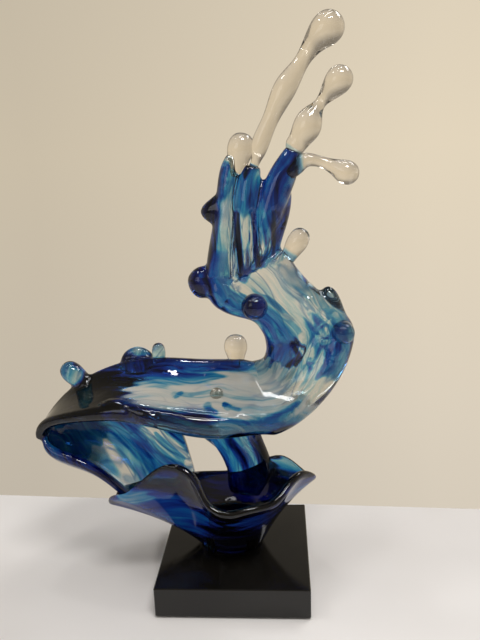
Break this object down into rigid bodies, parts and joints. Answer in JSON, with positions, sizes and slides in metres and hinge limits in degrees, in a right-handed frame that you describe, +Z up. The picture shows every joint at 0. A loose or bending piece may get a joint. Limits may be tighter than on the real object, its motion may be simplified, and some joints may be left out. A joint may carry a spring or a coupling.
{
  "type": "glass wave sculpture",
  "caption": "Freestanding swirled blue glass wave: a ruffled bowl, a hollow barrel and a curling crest that rises into clear splash fingers, on a square black plinth.",
  "frame": {"origin": "centre of the felt pad's underside, where the sculpture stands", "axes": "+Z up, +X to the right of the wave's open side, -Y out of the barrel's mouth towards the viewer"},
  "size_m": [0.3195, 0.15, 0.5451],
  "materials": {
    "blue_glass": "fire polished, blue and clear swirl",
    "navy_glass": "fire polished, dark navy swirl",
    "clear_glass": "fire polished, clear",
    "black_gloss": "polished black",
    "black_felt": "felt",
    "steel": "zinc plated",
    "brass": "machined"
  },
  "bodies": {
    "root": {"base_pad": "black_felt", "plinth": "black_gloss", "mounting_bolts": "steel", "bolt_washers": "steel", "threaded_inserts": "brass", "crest_deck": "blue_glass", "rising_curl": "blue_glass", "left_stream": "blue_glass", "centre_stream": "blue_glass", "right_stream": "blue_glass", "outer_stream": "blue_glass", "rear_stem": "blue_glass", "back_fin": "blue_glass", "fin_bead": "blue_glass", "left_tip_drop": "blue_glass", "horn": "blue_glass", "right_bead": "blue_glass", "deck_inset_bead": "blue_glass", "foot": "navy_glass", "front_ruffle": "navy_glass", "rear_bowl": "navy_glass", "barrel_shell": "navy_glass", "inner_bead": "navy_glass", "neck_bead": "navy_glass", "left_lobe": "navy_glass", "tall_finger": "clear_glass", "middle_finger": "clear_glass", "short_finger": "clear_glass", "top_left_bead": "clear_glass", "deck_drop": "clear_glass", "curl_drop": "clear_glass"}
  },
  "joints": []
}
